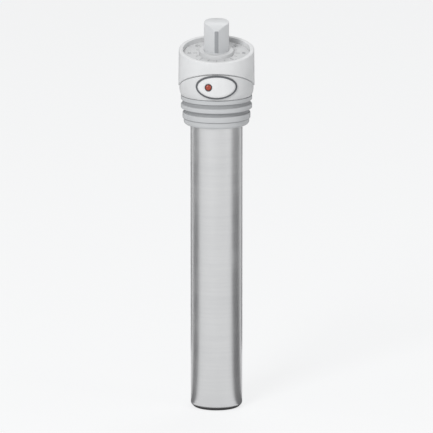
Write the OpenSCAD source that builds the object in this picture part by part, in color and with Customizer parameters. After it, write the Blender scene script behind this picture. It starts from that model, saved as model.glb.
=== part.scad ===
// Submersible aquarium heater: steel sheath, plastic head with a temperature knob, bimetal thermostat
// and a wound ceramic element. Millimetres, +Z up towards the knob, -Y is the badge side.
// The origin is on the tube's axis, halfway along the bare steel that a tank bracket grips.

/* [Steel tube] */
// Outside diameter of the steel tube
tube_d = 22; // [20:0.5:26]
// Wall of the steel tube
tube_wall = 0.6; // [0.5:0.05:1]
// Length of bare tube wall between the foot's round and the collar
grip_len = 121.5; // [100:0.5:240]
// Radius of the round between the wall and the flat foot
foot_round = 1.5; // [1.1:0.1:3]
// How far the tube's mouth is sized down inside the collar
mouth_step = 0.3; // [0.2:0.05:0.5]
// Length of the sized-down mouth
mouth_len = 13; // [12:0.5:16]

/* [Ribbed collar] */
// Height of the plain lip at the bottom
lip_h = 2.7; // [2:0.1:4]
// Height of the lowest rib
low_rib_h = 2.6; // [2:0.1:4]
// Height of each of the two upper ribs
rib_h = 1.95; // [1.5:0.05:3]
// Height of the groove under each upper rib
groove_h = 1.7; // [1:0.05:2.5]
// How deep the grooves are
groove_depth = 0.75; // [0.4:0.05:1]
// How far the upper ribs stand out from the lowest one
rib_step = 0.7; // [0.3:0.05:1]
// How much smaller in radius the lip is than the lowest rib
lip_drop = 0.5; // [0.2:0.05:0.8]
// Radius of the round on the rib edges
rib_edge = 0.55; // [0.2:0.05:0.7]
// Radius of the round under the lip
lip_round = 1.5; // [0.8:0.1:1.8]
// Thickness of the collar's floor, which sits on the tube's shoulder
collar_floor = 2.75; // [2:0.05:4]
// Wall of the collar outside the neck's spigot, in its grooves
collar_wall = 0.9; // [0.8:0.1:1.1]

/* [Neck] */
// How far the neck stands out from the ribs
belly_flare = 0.6; // [0.3:0.05:1]
// Height of neck that shows at the sides, between collar and cover
belly_h = 3.65; // [3:0.05:6]
// Height over which the neck draws in towards the collar
belly_draw = 2; // [1:0.1:2.8]
// Wall of the neck's inner sleeve
sleeve_wall = 1.6; // [1.2:0.1:2]
// Height of the rubber seal ring round the mouth
seal_h = 3.5; // [2.5:0.1:4.5]
// Width of the seal ring and of the neck's spigot, from the mouth outwards
seal_w = 2; // [1.6:0.05:3]
// Thickness of the rubber stopper's flange
flange_t = 1.25; // [1:0.05:2]
// Thickness of the neck's deck over the stopper
deck_t = 1.5; // [1.2:0.1:2]

/* [Cover] */
// How far the cover stands out from the neck
cover_lap = 0.3; // [0.2:0.05:0.6]
// Wall of the cover
cover_wall = 1.8; // [1.5:0.1:2]
// How much the cover's radius shrinks from its bottom to its top
cover_draft = 0.25; // [0:0.05:0.4]
// Height of the cover at its sides, on the tube's axis
cover_h = 15.9; // [14:0.1:22]
// Lean of the top face towards the badge, in degrees
top_tilt = 11.5; // [0:0.5:14]
// How far the cover's lower edge climbs from the sides to the front
seam_rise = 7.75; // [5:0.05:8]

/* [Dial] */
// Depth of the dial plate below the rim
plate_recess = 1.8; // [1:0.1:2.5]
// Thickness of the dial plate
plate_t = 1.6; // [1.2:0.1:2]
// Width of plate left between the knob's bush and the cord's gland
gland_gap = 0.45; // [0.3:0.05:1]
// How far the bush stands above the plate
bush_proud = 1.2; // [0.6:0.1:1.6]
// Number of marks on the dial, one for each degree of temperature
dial_marks = 13; // [7:1:19]
// Length of a short mark
mark_len = 1.2; // [0.8:0.1:1.6]
// Width of a mark
mark_w = 0.35; // [0.3:0.05:0.5]
// How far a mark stands above the plate
mark_proud = 0.2; // [0.1:0.05:0.3]

/* [Knob] */
// Diameter of the knob
knob_d = 10.6; // [10:0.1:10.8]
// Height of the knob's grip
grip_h = 13.35; // [10:0.05:18]
// Width of the narrow web at the pointer's tip
web_w = 1.6; // [1:0.1:2.4]
// Radius of the crown over the top of the grip
crown_r = 15; // [12:0.5:30]
// How far behind the axis the crown is highest
crown_back = 4.9; // [2:0.1:5]
// Angle that the knob turns each way from the middle of its scale
knob_turn = 135; // [90:5:140]
// Height of the stop lug on the stem
lug_h = 2.4; // [1.5:0.1:3]
// How far the stop lug stands out of the stem
lug_out = 0.7; // [0.5:0.05:0.9]
// Thickness of the two rubber rings in the stem's grooves
ring_t = 1; // [0.8:0.05:1.2]

/* [Cord inlet] */
// Diameter of the bore that takes the power cord
cord_bore_d = 4.4; // [4:0.1:4.6]
// Wall of the rubber gland round the bore
gland_wall = 0.75; // [0.6:0.05:0.85]
// Width of plate left between the gland and the cover
gland_edge = 0.55; // [0.3:0.05:1]
// How far the gland stands above the dial plate at its own axis
gland_proud = 4.3; // [3:0.1:8]

/* [Badge] */
// Width of the oval badge
badge_w = 17.6; // [14:0.1:20]
// Height of the oval badge
badge_h = 10.2; // [7:0.1:10.4]
// How far the badge stands off the neck
badge_t = 0.5; // [0.3:0.05:0.7]
// Width of the bezel round the badge
bezel_w = 0.7; // [0.5:0.05:1]
// How far the bezel stands above the badge
bezel_proud = 0.25; // [0.1:0.05:0.4]
// Diameter of the pilot light's lens
lens_d = 2.6; // [2:0.1:3]
// Distance of the lens from the badge's middle
lens_x = 3.4; // [3.2:0.1:3.6]

/* [Thermostat] */
// Diameter of the adjusting shaft
shaft_d = 4; // [3.5:0.1:4.4]
// Diameter of the shaft's threaded end
thread_d = 3; // [2.5:0.1:3.2]
// Length of the thermostat's carrier
carrier_len = 45; // [44:0.5:60]
// Thickness of the carrier's end discs
disc_t = 2; // [1.5:0.1:2.5]
// Thickness of the carrier's back plate
back_t = 1.5; // [1:0.1:1.8]
// Arm of the lever under the plunger's nose
lever_arm = 3; // [2.5:0.1:3.2]
// Distance from the lever's pivot down to its contact
contact_drop = 13.5; // [12:0.1:15]
// Width of the gap between the contacts at rest
contact_gap = 1.2; // [1.15:0.05:1.3]
// Diameter of the lever's pin
pin_d = 1.2; // [1:0.1:1.4]
// Thickness of the bimetal strip
strip_t = 0.4; // [0.3:0.05:0.5]

/* [Heating element] */
// Air between the winding and the rods beside it
coil_air = 0.25; // [0.2:0.05:1]
// Diameter of the resistance wire
wire_d = 0.8; // [0.6:0.05:1]
// Number of turns of the resistance wire
coil_turns = 14; // [8:1:20]
// Bare length of core above and below the winding
core_bare = 3; // [2:0.5:8]
// Thickness of the heat shield and of the bottom spacer
spacer_t = 1.5; // [1:0.1:2.5]
// Air space between the heat shield and the thermostat
shield_gap = 5.5; // [4:0.5:15]
// Thickness of the pad under the element
pad_t = 3.6; // [2:0.1:6]
// Diameter of the rods that carry the element
rod_d = 1.6; // [1.2:0.1:1.8]

/* [Hidden] */
$fn = 96;

slip = 0.05;         // radial clearance of a turning or sliding fit
fit = 0.1;           // radial clearance of pieces that are glued or clipped together
bite = 1;            // how far a cut runs past the face that it opens

// Tube
tube_r = tube_d / 2;
bore_r = tube_r - tube_wall;
mouth_r = tube_r - mouth_step;
mouth_bore_r = mouth_r - tube_wall;
shoulder_z = grip_len / 2;
foot_z = -grip_len / 2 - foot_round;
mouth_z = shoulder_z + mouth_len;

// Collar, seal and neck, stacked outwards from the tube's mouth and up from its shoulder
collar_bore_r = mouth_r + slip;
spigot_r = collar_bore_r + seal_w;
low_rib_r = spigot_r + collar_wall + groove_depth;
rib_r = low_rib_r + rib_step;
groove_r = rib_r - groove_depth;
lip_r = low_rib_r - lip_drop;
low_rib_z = shoulder_z + lip_h;
rib_1_z = low_rib_z + low_rib_h + groove_h;
rib_2_z = rib_1_z + rib_h + groove_h;
collar_top_z = rib_2_z + rib_h;
seal_z = shoulder_z + collar_floor;
spigot_z = seal_z + seal_h;
deck_z = mouth_z + flange_t;
floor_z = deck_z + deck_t;
flange_in = 0.7;     // how far the stopper's flange lies inside the spigot's outside
flange_r = spigot_r - flange_in;
belly_foot_in = 0.15;
belly_foot_r = rib_r - belly_foot_in;
belly_r = rib_r + belly_flare;
cover_r = belly_r + cover_lap;
cover_bore_r = cover_r - cover_wall;
sleeve_r = cover_bore_r - fit;
chamber_r = sleeve_r - sleeve_wall;
seam_z = collar_top_z + belly_h;
seam_tilt = -atan(seam_rise / cover_r);
span = 5 * cover_r;  // side of the blocks that cut along a plane

// Cover and plate. A height with a tilt is where its plane crosses the axis.
lean = tan(top_tilt);
rim_z = seam_z + cover_h;
plate_z = rim_z - plate_recess;
plate_under_z = plate_z - plate_t;
plate_r = cover_bore_r - slip;

// Gland, and the bush that fits between it and the knob
gland_r = cord_bore_d / 2 + gland_wall;
gland_y = cover_bore_r - gland_edge - gland_r;
gland_deep = 3.5;    // how far the gland reaches below the plate at the axis
pot_z = plate_under_z - gland_deep;
gland_top_z = plate_z + gland_y * lean + gland_proud;
bush_r = gland_y - gland_r - gland_gap;
bush_top_z = plate_z + bush_proud;
mark_gap = 0.9;      // between the bush and the marks

// Knob
knob_r = knob_d / 2;
stem_bore_r = knob_r + slip;
lug_r = knob_r + lug_out;
lug_bore_r = lug_r + fit;
bush_foot_wall = 0.6;
bush_foot_r = lug_bore_r + bush_foot_wall;
grip_lift = 1.1;     // from the bush's front edge up to the grip
grip_z = bush_top_z - bush_r * lean + grip_lift;
knob_top_z = grip_z + grip_h;
ring_groove = 1;     // depth of the stem's ring grooves
ring_pitch = 2;      // distance between the ring grooves
ring_drop = 1.7;     // from the plate's underside down to the upper ring
ring_z = plate_under_z - ring_drop;
ledge_t = 1.2;       // between the lower ring and the lug's chamber
ledge_z = ring_z - ring_pitch - ring_t / 2 - ledge_t;
lug_play = 0.3;
lug_z = ledge_z - lug_play - lug_h;
lug_half = 8;        // half the angle that the stop lug takes up
stop_play = 1;       // angle left between the lug and the stop at the end of a turn
stop_half = 180 - knob_turn - lug_half - stop_play;
stop_under = 0.5;
pocket_deep = 5;     // knob left above the end of the shaft
pocket_z = knob_top_z - pocket_deep;

// Badge, centred in the arch between the collar and the cover's front edge
badge_lift = 0.3;
badge_z = (collar_top_z + seam_z + seam_rise) / 2 + badge_lift;
badge_r = belly_r + badge_t;
lens_r = lens_d / 2;
lens_proud = 0.1;
lens_in = 0.9;       // how far the lens reaches into the head's chamber
lens_back = chamber_r - lens_in;

// Pilot lamp and resistor, over leads that pass the tube's mouth
lamp_r = 1.5;
lamp_len = 7;
lamp_edge = 0.8;     // from the leads to the bore of the mouth
lamp_angle = 70;
lamp_x = (mouth_bore_r - lamp_edge) * cos(lamp_angle);
lamp_y = (mouth_bore_r - lamp_edge) * sin(lamp_angle);
thin_r = 0.3;        // radius of the lamp's leads
resistor_r = 1.1;
resistor_waist = 0.9;
resistor_cap = 1.8;
resistor_len = 6.3;
resistor_z = floor_z + thin_r;
link_lift = 0.8;
link_z = floor_z + lamp_len + link_lift;

// Supply wires and their splices
lead_r = 0.7;
wire_edge = 1.5;     // from the wires to the bore of the mouth
wire_angle = 33;
wire_x = (mouth_bore_r - wire_edge) * cos(wire_angle);
wire_y = (mouth_bore_r - wire_edge) * sin(wire_angle);
splice_r = 1.4;
splice_edge = 2.2;   // from the splices to the wall of the chamber
splice_angle = 63.5;
splice_x = (chamber_r - splice_edge) * cos(splice_angle);
splice_y = (chamber_r - splice_edge) * sin(splice_angle);
splice_h = 5;
splice_lift = 2.5;
splice_z = floor_z + splice_lift;
wire_dip = 1.2;      // from a splice down to the wire's bend
bend_z = splice_z - wire_dip;
pot_front = 2;

// Thermostat carrier, hung under the stopper
stopper_len = 10.75;
carrier_top_z = mouth_z - stopper_len;
carrier_z = carrier_top_z - carrier_len;
disc_play = 0.5;
disc_r = bore_r - disc_play;
top_disc_z = carrier_top_z - disc_t;
low_disc_z = carrier_z + disc_t;
back_y = 3.5;
wire_gap = 0.5;      // between the back plate and the wires
back_x = wire_x - lead_r - wire_gap;
shaft_r = shaft_d / 2;
thread_r = thread_d / 2;
shaft_tail = 2;      // full diameter of the shaft below the upper disc
clip_t = 0.6;
clip_w = 1;
clip_bite = 0.4;     // depth of the clip's groove
clip_slot = 1.8;
clip_z = top_disc_z - clip_t - fit;

// Nut on the shaft's thread, with a nose that presses the lever
nut_drop = 15;       // from the carrier's top down to the nut's underside
nut_z = carrier_top_z - nut_drop;
nut_h = 8;
nut_w = 4.8;
nut_deep = 6;
nose_y = -2;
nose_t = 0.8;
nose_w = 2.4;
nose_len = 2.5;
nose_z = nut_z - nose_len;
thread_spare = 0.5;
thread_end_z = nut_z + thread_spare;

// Terminal tabs on the back plate's edges, and between them the rails that guide the nut
tab_z = nut_z;
tab_h = 7;
tab_t = 0.5;
tab_over = 0.8;
rivet_head_r = 0.95;
rivet_flange = 0.35;
rivet_x = back_x - rivet_head_r;
tab_x = back_x - 2 * rivet_head_r;
rail_x = nut_w / 2 + fit;
rail_t = tab_x - fit - rail_x;
rail_over = 1;       // how far the rails run past the nut
rivet_r = rivet_head_r - rivet_flange;
rivet_up = 4;
rivet_head_t = 0.4;

// Lever: its pivot lies lever_arm behind the nose, so that the nose pushes straight down on it
pivot_y = nose_y + lever_arm;
pivot_drop = 2.5;
pivot_z = nose_z - pivot_drop;
hub_r = 1.4;
hub_w = 5.6;
ear_gap = 0.2;
ear_r = 1.6;
ear_x = hub_w / 2 + ear_gap;
lever_w = 3;
arm_t = 1.5;
arm_over = 1.2;      // how far the short arm runs past the nose
arm_z = nose_z - slip;
lever_t = 1.2;
contact_r = 1.3;
contact_t = 0.8;
contact_z = pivot_z - contact_drop;
contact_edge = 0.2;
lever_tip_z = contact_z - contact_r - contact_edge;
lever_face_y = pivot_y - lever_t / 2;
set_face_y = lever_face_y - contact_t;

// Bimetal strip, held at its lower end in the bracket's slot
strip_face_y = set_face_y - contact_gap - contact_t;
strip_y = strip_face_y - strip_t;
strip_w = 4;
slot_play = 0.3;
slot_deep = 2.2;
slot_floor = 0.3;
strip_z = low_disc_z + slot_floor + fit;
bracket_top_z = low_disc_z + slot_floor + slot_deep;
bracket_wall = 0.7;
strip_over = 3.2;    // from the contact up to the strip's free end
strip_top_z = contact_z + strip_over;
armature_t = 0.6;
armature_w = 3.6;
armature_h = 2;
armature_z = strip_top_z - armature_h - contact_edge;
magnet_air = 0.6;
magnet_t = 2.4;
magnet_w = 5;
magnet_h = 4;
magnet_z = armature_z + armature_h / 2 - magnet_h / 2;
post_y = strip_y - armature_t - magnet_air - magnet_t;
post_t = 1.4;
post_w = 6;
post_over = 1.3;
fuse_r = 1.6;
fuse_x = 4;
fuse_wire_r = 0.4;
fuse_up = 4;         // from the lower disc to the fuse's body
fuse_len = 10;
fuse_tail = 2;
cap_up = 10;         // from the lower disc to the capacitor
cap_h = 14;
cap_w = 9;
cap_edge = 1.4;      // from the capacitor to the discs' edge

// Element
shield_z = carrier_z - shield_gap - spacer_t;
bottom_z = foot_z + tube_wall + pad_t;
core_z = bottom_z + spacer_t;
core_len = shield_z - core_z;
spacer_play = 0.3;
spacer_r = bore_r - spacer_play;
rod_r = rod_d / 2;
rod_edge = 1.7;
rod_x = spacer_r - rod_edge;
coil_steps = 24;     // rings in each turn of the winding
wire_r = wire_d / 2;
coil_r = rod_x - rod_r - coil_air - wire_r;
core_r = (coil_r - wire_r) * cos(180 / coil_steps) - slip;
coil_z = core_z + core_bare;
coil_len = core_len - 2 * core_bare;
core_hole_x = 2.4;
core_hole_r = 0.9;
pin_r = 0.5;         // leads of the element
pin_y = coil_r + wire_r + pin_r;

/* Shared shapes */

// Everything above a plane that crosses the axis at height z and climbs towards +Y by tilt
module above(z, tilt) {
    translate([0, 0, z]) rotate([tilt, 0, 0]) translate([-span / 2, -span / 2, 0]) cube(span);
}

// Everything below that plane
module below(z, tilt) {
    translate([0, 0, z]) rotate([tilt, 0, 0]) translate([-span / 2, -span / 2, -span]) cube(span);
}

module above_seam() {
    intersection() {
        above(seam_z, seam_tilt);
        above(seam_z, 0);
    }
}

module rod(r, z0, z1) {
    translate([0, 0, z0]) cylinder(r = r, h = z1 - z0);
}

// A rod along Y from y0 to y1
module rod_y(r, y0, y1) {
    translate([0, y0, 0]) rotate([-90, 0, 0]) cylinder(r = r, h = y1 - y0);
}

// A cuboid between two opposite corners
module block(a, b) {
    translate(a) cube(b - a);
}

module both_sides() {
    children();
    mirror([1, 0, 0]) children();
}

// A wire through straight runs between points, round at each bend
module wire(points, r) {
    for (i = [0:len(points) - 2]) {
        run = points[i + 1] - points[i];
        translate(points[i])
            rotate([0, acos(run[2] / norm(run)), atan2(run[1], run[0])])
                cylinder(r = r, h = norm(run), $fn = 32);
        if (i > 0) translate(points[i]) sphere(r = r, $fn = 32);
    }
}

// The rings of a round wire wound up the Z axis, for polyhedron()
function winding_ring(k, steps, radius, rise, r, sides) =
    let (turn = 360 * k / steps, slope = atan(rise / (2 * PI * radius)))
    [for (s = [0:sides - 1])
        let (a = 360 * s / sides, out = radius + r * cos(a), up = r * sin(a))
        [out * cos(turn) + up * sin(slope) * sin(turn),
         out * sin(turn) - up * sin(slope) * cos(turn),
         rise * k / steps + up * cos(slope)]];

module winding(turns, steps, radius, rise, r, sides) {
    rings = turns * steps;
    points = [for (k = [0:rings]) each winding_ring(k, steps, radius, rise, r, sides)];
    skin = [for (k = [0:rings - 1]) for (s = [0:sides - 1])
        let (a = k * sides + s, b = k * sides + (s + 1) % sides)
        each [[a, a + sides, b], [b, a + sides, b + sides]]];
    first = [for (s = [1:sides - 2]) [0, s, s + 1]];
    last = [for (s = [1:sides - 2]) [rings * sides, rings * sides + s + 1, rings * sides + s]];
    polyhedron(points, concat(skin, first, last));
}

/* Outer pieces */

// Deep-drawn sheath with a flat foot and a slightly narrower mouth
module sheath_outline(wall) {
    round_r = foot_round - wall;
    r = tube_r - wall;
    z = foot_z + wall;
    translate([0, z + round_r]) square([r, shoulder_z - z - round_r]);
    translate([0, z]) square([r - round_r, round_r + slip]);
    translate([r - round_r, z + round_r]) circle(r = round_r);
}

module sheath_tube() {
    color([0.78, 0.79, 0.8]) difference() {
        union() {
            rotate_extrude() intersection() {
                sheath_outline(0);
                translate([0, foot_z]) square([tube_r, grip_len + foot_round]);
            }
            rod(mouth_r, shoulder_z - bite, mouth_z);
        }
        rotate_extrude() intersection() {
            sheath_outline(tube_wall);
            translate([0, foot_z]) square([tube_r, grip_len + foot_round - tube_wall]);
        }
        rod(mouth_bore_r, shoulder_z - 2 * bite, mouth_z + bite);
    }
}

// One band of the collar's outline, with rounded outer corners
module band(z, h, r) {
    square_w = r - spigot_r;
    translate([spigot_r, z + rib_edge]) square([square_w, h - 2 * rib_edge]);
    translate([spigot_r, z]) square([square_w - rib_edge, h]);
    for (corner_z = [z + rib_edge, z + h - rib_edge])
        translate([r - rib_edge, corner_z]) circle(r = rib_edge);
}

module clamp_collar() {
    color([0.72, 0.73, 0.74]) difference() {
        rotate_extrude() {
            translate([collar_bore_r, shoulder_z])
                square([lip_r - lip_round - collar_bore_r, lip_h]);
            translate([collar_bore_r, shoulder_z + lip_round])
                square([lip_r - collar_bore_r, lip_h - lip_round]);
            translate([lip_r - lip_round, shoulder_z + lip_round]) circle(r = lip_round);
            band(low_rib_z, low_rib_h, low_rib_r);
            band(rib_1_z, rib_h, rib_r);
            band(rib_2_z, rib_h, rib_r);
            translate([collar_bore_r, low_rib_z - bite])
                square([spigot_r + collar_wall - collar_bore_r, rib_1_z - low_rib_z + 2 * bite]);
            translate([collar_bore_r, rib_1_z]) square([groove_r - collar_bore_r, collar_top_z - rib_1_z]);
        }
        rod(spigot_r + fit, seal_z, collar_top_z + bite);
    }
}

module tube_seal() {
    color([0.12, 0.12, 0.13]) difference() {
        rod(spigot_r, seal_z, spigot_z);
        rod(collar_bore_r, seal_z - bite, spigot_z + bite);
    }
}

// Spigot, belly and inner sleeve in one moulding, with a deck over the stopper
module neck_body() {
    color([0.86, 0.87, 0.87]) difference() {
        union() {
            rod(spigot_r, spigot_z, collar_top_z + bite);
            difference() {
                union() {
                    translate([0, 0, collar_top_z])
                        cylinder(r1 = belly_foot_r, r2 = belly_r, h = belly_draw);
                    rod(belly_r, collar_top_z + belly_draw, rim_z);
                }
                above_seam();
            }
            rod(sleeve_r, collar_top_z + belly_draw, rim_z + cover_r);
        }
        above(plate_under_z, top_tilt);
        rod(mouth_r + fit, spigot_z - bite, mouth_z);
        rod(flange_r + fit, mouth_z, deck_z);
        rod(chamber_r, floor_z, rim_z + span / 2);
        rod(shaft_r + slip, deck_z - bite, floor_z + bite);
        both_sides() translate([wire_x, wire_y, 0]) rod(lead_r + fit, deck_z - bite, floor_z + bite);
        both_sides() translate([lamp_x, -lamp_y, 0]) rod(thin_r + fit, deck_z - bite, floor_z + bite);
        translate([-lens_x, 0, badge_z]) rod_y(lens_r + slip, -cover_r, 0);
        translate([0, gland_y, 0]) rod(gland_r + fit, pot_z, rim_z + cover_r);
        block([-gland_r - fit, gland_y, pot_z], [gland_r + fit, cover_r + bite, rim_z + cover_r]);
    }
}

module head_cover() {
    color([0.9, 0.91, 0.91]) difference() {
        intersection() {
            translate([0, 0, seam_z])
                cylinder(r1 = cover_r + cover_draft / 2, r2 = cover_r - cover_draft / 2, h = cover_h * 1.5);
            above_seam();
        }
        above(rim_z, top_tilt);
        rod(cover_bore_r, seam_z - bite, rim_z + cover_r);
    }
}

/* Dial and cord inlet */

module dial_mark(angle, length) {
    rotate([0, 0, angle])
        translate([-mark_w / 2, -bush_r - mark_gap - length, seam_z])
            cube([mark_w, length, span]);
}

module dial_plate() {
    step = 2 * knob_turn / (dial_marks - 1);
    color([0.88, 0.89, 0.89]) difference() {
        union() {
            difference() {
                rod(plate_r, plate_under_z - cover_r, rim_z + cover_r);
                above(plate_z, top_tilt);
            }
            difference() {
                for (i = [0:dial_marks - 1])
                    dial_mark(-knob_turn + i * step, i % 2 == 0 ? mark_len * 1.5 : mark_len);
                above(plate_z + mark_proud, top_tilt);
            }
        }
        below(plate_under_z, top_tilt);
        rod(bush_r + slip, seam_z - cover_r, rim_z + cover_r);
        translate([0, gland_y, 0]) rod(gland_r + slip, seam_z - cover_r, rim_z + cover_r);
    }
}

// Sleeve that carries the knob's stem, with the block that stops the stem's lug
module knob_bush() {
    color([0.8, 0.81, 0.82]) difference() {
        union() {
            rod(bush_foot_r, floor_z, pot_z);
            rod(bush_r, pot_z, rim_z + cover_r);
        }
        above(bush_top_z, top_tilt);
        rod(stem_bore_r, floor_z - bite, rim_z + cover_r);
        difference() {
            rod(lug_bore_r, floor_z - bite, ledge_z);
            rotate([0, 0, 90 - stop_half])
                rotate_extrude(angle = 2 * stop_half)
                    translate([stem_bore_r, lug_z - stop_under])
                        square([bush_foot_r, lug_h + pot_z - ledge_z]);
        }
    }
}

module cord_gland() {
    color([0.1, 0.1, 0.11]) translate([0, gland_y, 0]) difference() {
        rod(gland_r, pot_z, gland_top_z);
        rod(cord_bore_d / 2, pot_z - bite, gland_top_z + bite);
    }
}

/* Badge and pilot light */

// The badge's oval, as a prism along Y, grown by edge
module oval(edge) {
    corners = 72;
    points = [for (i = [0:corners - 1])
        let (a = 360 * i / corners)
        [(badge_w / 2 + edge) * cos(a), (badge_h / 2 + edge) * sin(a)]];
    translate([0, 0, badge_z]) rotate([90, 0, 0])
        linear_extrude(height = cover_r + 2 * bite) polygon(points);
}

module shell(r0, r1) {
    difference() {
        rod(r1, collar_top_z, rim_z);
        rod(r0, collar_top_z - bite, rim_z + bite);
    }
}

module badge_plate() {
    color([0.93, 0.93, 0.92]) difference() {
        intersection() {
            oval(-bezel_w);
            shell(belly_r, badge_r);
        }
        translate([-lens_x, 0, badge_z]) rod_y(lens_r + slip, -cover_r - bite, 0);
    }
}

module badge_bezel() {
    color([0.55, 0.56, 0.58]) difference() {
        intersection() {
            oval(0);
            shell(belly_r, badge_r + bezel_proud);
        }
        oval(-bezel_w);
    }
}

module pilot_lens() {
    color([0.9, 0.35, 0.12]) translate([-lens_x, 0, badge_z])
        rod_y(lens_r, -badge_r - lens_proud, -lens_back);
}

module pilot_lamp() {
    color([0.95, 0.75, 0.6]) translate([-lamp_x, -lamp_y, 0]) {
        rod(lamp_r, floor_z, floor_z + lamp_len - lamp_r);
        translate([0, 0, floor_z + lamp_len - lamp_r]) sphere(r = lamp_r);
    }
}

module lamp_resistor() {
    end_z = resistor_z + resistor_len;
    color([0.55, 0.68, 0.72]) translate([lamp_x, -lamp_y, 0]) {
        rod(resistor_r, resistor_z, resistor_z + resistor_cap);
        rod(resistor_waist, resistor_z + resistor_cap / 2, end_z - resistor_cap / 2);
        rod(resistor_r, end_z - resistor_cap, end_z);
    }
}

// Thin wires: one down from the lamp, and one from the lamp's top over the resistor
module lamp_leads() {
    foot_z = top_disc_z + disc_t / 2;
    color([0.8, 0.8, 0.82]) {
        translate([-lamp_x, -lamp_y, 0]) rod(thin_r, foot_z, floor_z);
        translate([lamp_x, -lamp_y, 0]) rod(thin_r, foot_z, resistor_z);
        wire([
            [-lamp_x, -lamp_y, floor_z + lamp_len],
            [-lamp_x, -lamp_y, link_z],
            [lamp_x, -lamp_y, link_z],
            [lamp_x, -lamp_y, resistor_z + resistor_len]
        ], thin_r);
    }
}

/* Wiring in the head */

module supply_wire() {
    wire([
        [splice_x, splice_y, splice_z],
        [splice_x, splice_y, bend_z],
        [wire_x, wire_y, bend_z],
        [wire_x, wire_y, tab_z]
    ], lead_r);
}

module supply_leads() {
    color([0.85, 0.85, 0.8]) both_sides() supply_wire();
}

module cord_splices() {
    color([0.75, 0.76, 0.78]) both_sides()
        translate([splice_x, splice_y, 0]) rod(splice_r, splice_z, splice_z + splice_h);
}

// Cast resin behind the bush, which seals the end of the cord's bore
module potting() {
    color([0.2, 0.2, 0.22]) difference() {
        intersection() {
            rod(chamber_r, floor_z, pot_z);
            block([-span / 2, pot_front, floor_z], [span / 2, span / 2, pot_z]);
        }
        rod(bush_foot_r, floor_z - bite, pot_z + bite);
        both_sides() {
            translate([splice_x, splice_y, 0]) rod(splice_r, splice_z, splice_z + splice_h);
            supply_wire();
        }
    }
}

module tube_stopper() {
    color([0.7, 0.3, 0.25]) difference() {
        union() {
            rod(mouth_bore_r - slip, carrier_top_z, mouth_z);
            rod(flange_r, mouth_z, deck_z);
        }
        rod(shaft_r + slip, carrier_top_z - bite, deck_z + bite);
        both_sides() {
            translate([wire_x, wire_y, 0]) rod(lead_r, carrier_top_z - bite, deck_z + bite);
            translate([lamp_x, -lamp_y, 0]) rod(thin_r, carrier_top_z - bite, deck_z + bite);
        }
    }
}

/* Thermostat */

// Two discs joined by a back plate, with ears for the lever, rails for the nut and the magnet's post
module thermostat_carrier() {
    color([0.42, 0.24, 0.14]) difference() {
        union() {
            rod(disc_r, carrier_z, low_disc_z);
            rod(disc_r, top_disc_z, carrier_top_z);
            block([-back_x, back_y, carrier_z], [back_x, back_y + back_t, carrier_top_z]);
            both_sides() {
                block([rail_x, -rail_over, nut_z - rail_over],
                      [rail_x + rail_t, back_y + back_t, nut_z + nut_h + rail_over]);
                block([ear_x, pivot_y - ear_r, pivot_z - ear_r],
                      [ear_x + rail_t, back_y + back_t, pivot_z + ear_r]);
            }
            block([-post_w / 2, post_y - post_t, carrier_z],
                  [post_w / 2, post_y, magnet_z + magnet_h + post_over]);
        }
        rod(shaft_r + slip, top_disc_z - bite, carrier_top_z + bite);
        pivot() cylinder(r = pin_d / 2, h = 2 * disc_r, center = true);
        both_sides() {
            translate([wire_x, wire_y, 0]) rod(lead_r + fit, top_disc_z - bite, carrier_top_z + bite);
            translate([lamp_x, -lamp_y, 0])
                rod(thin_r + fit, top_disc_z + disc_t / 2, carrier_top_z + bite);
            translate([rod_x, 0, 0]) rod(rod_r, carrier_z - bite, low_disc_z + bite);
            translate([rivet_x, 0, tab_z + rivet_up]) rod_y(rivet_r, 0, back_y + back_t + bite);
        }
        element_pins(carrier_z - bite, low_disc_z + bite);
    }
}

// Turns what is drawn along Z to lie along the lever's pivot
module pivot() {
    translate([0, pivot_y, pivot_z]) rotate([0, 90, 0]) children();
}

module terminal_tabs() {
    color([0.82, 0.66, 0.3]) both_sides() difference() {
        union() {
            block([tab_x, back_y - tab_t, tab_z], [wire_x + tab_over, back_y, tab_z + tab_h]);
            block([back_x + fit, back_y - tab_t, tab_z],
                  [wire_x + tab_over, wire_y - lead_r, tab_z + tab_h]);
        }
        translate([rivet_x, 0, tab_z + rivet_up]) rod_y(rivet_r, 0, wire_y);
    }
}

module terminal_rivets() {
    front_y = back_y - tab_t;
    rear_y = back_y + back_t;
    color([0.75, 0.6, 0.3]) both_sides() translate([rivet_x, 0, tab_z + rivet_up]) {
        rod_y(rivet_r, front_y, rear_y);
        rod_y(rivet_head_r, front_y - rivet_head_t, front_y);
        rod_y(rivet_head_r, rear_y, rear_y + rivet_head_t);
    }
}

module lever_pin() {
    color([0.7, 0.7, 0.72]) pivot() cylinder(r = pin_d / 2, h = 2 * (ear_x + rail_t), center = true);
}

// Stands on the lower disc and holds the strip's root in a slot
module strip_bracket() {
    out_x = strip_w / 2 + slot_play + bracket_wall;
    wall_y = slot_play + bracket_wall;
    color([0.82, 0.66, 0.3]) difference() {
        block([-out_x, strip_y - wall_y, low_disc_z], [out_x, strip_face_y + wall_y, bracket_top_z]);
        block([-strip_w / 2 - slot_play, strip_y - slot_play, bracket_top_z - slot_deep],
              [strip_w / 2 + slot_play, strip_face_y + slot_play, bracket_top_z + bite]);
    }
}

module snap_magnet() {
    color([0.3, 0.3, 0.32])
        block([-magnet_w / 2, post_y, magnet_z], [magnet_w / 2, post_y + magnet_t, magnet_z + magnet_h]);
}

module thermal_fuse() {
    body_z = low_disc_z + fuse_up;
    color([0.8, 0.78, 0.7]) translate([fuse_x, back_y - fuse_r - slip, 0]) {
        rod(fuse_r, body_z, body_z + fuse_len);
        rod(fuse_wire_r, low_disc_z, body_z + fuse_len + fuse_tail);
    }
}

module suppressor_capacitor() {
    color([0.85, 0.7, 0.25])
        block([-cap_w / 2, back_y + back_t, low_disc_z + cap_up],
              [cap_w / 2, disc_r - cap_edge, low_disc_z + cap_up + cap_h]);
}

/* Heating element */

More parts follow.
